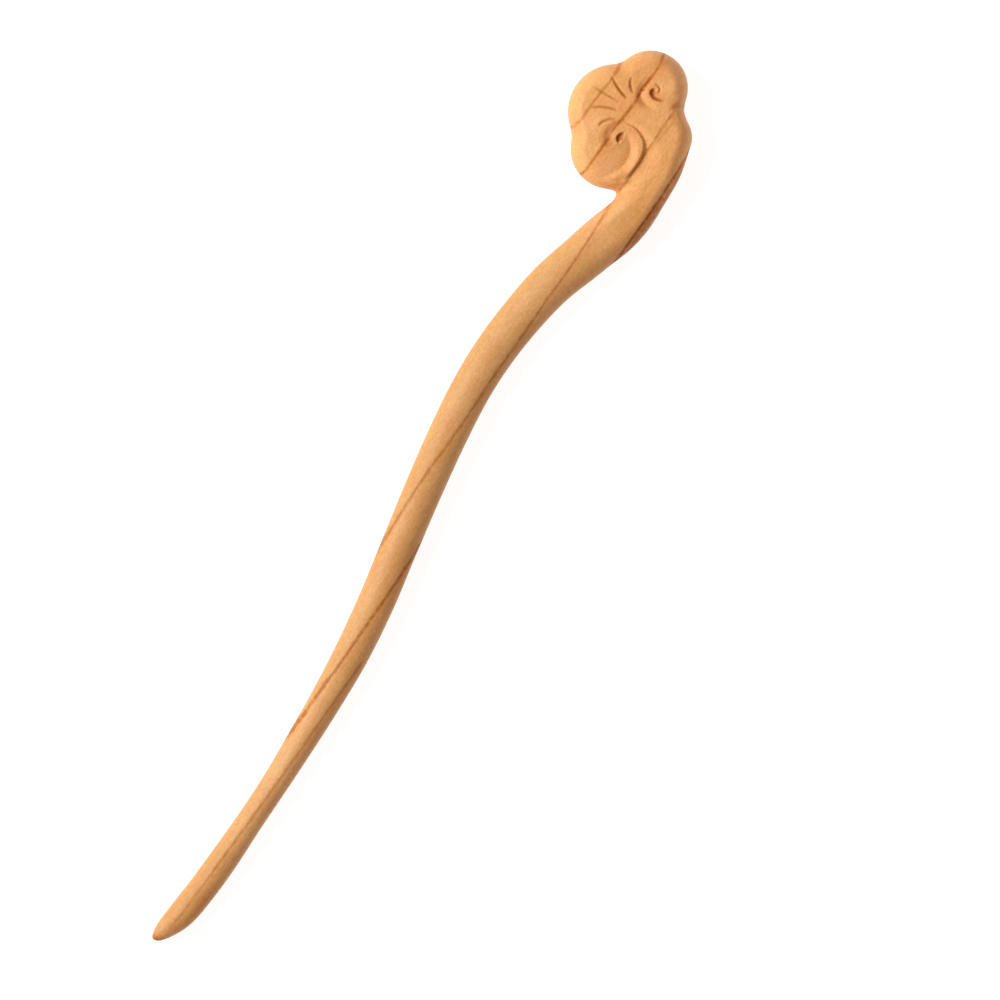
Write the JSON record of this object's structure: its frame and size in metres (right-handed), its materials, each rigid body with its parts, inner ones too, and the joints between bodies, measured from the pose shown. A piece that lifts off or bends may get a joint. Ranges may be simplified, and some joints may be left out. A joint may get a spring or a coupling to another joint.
{
  "type": "hair stick",
  "caption": "Slim bowed wooden hair stick with a blunt tip and a flat-backed head carved as a lobed cloud with scrolls and a fan of veins.",
  "frame": {"origin": "middle of the stick's length and width, at the level of its flat back", "axes": "+X from the tip to the head, +Y toward the side on which the two larger lobes stand out, +Z out of the carved face"},
  "size_m": [0.18, 0.024, 0.009],
  "materials": {
    "wood": "pale orange-brown fine-grained wood, sanded and oiled to a soft satin, with thin dark growth lines"
  },
  "bodies": {
    "root": {"hair_stick": "wood"}
  },
  "joints": []
}
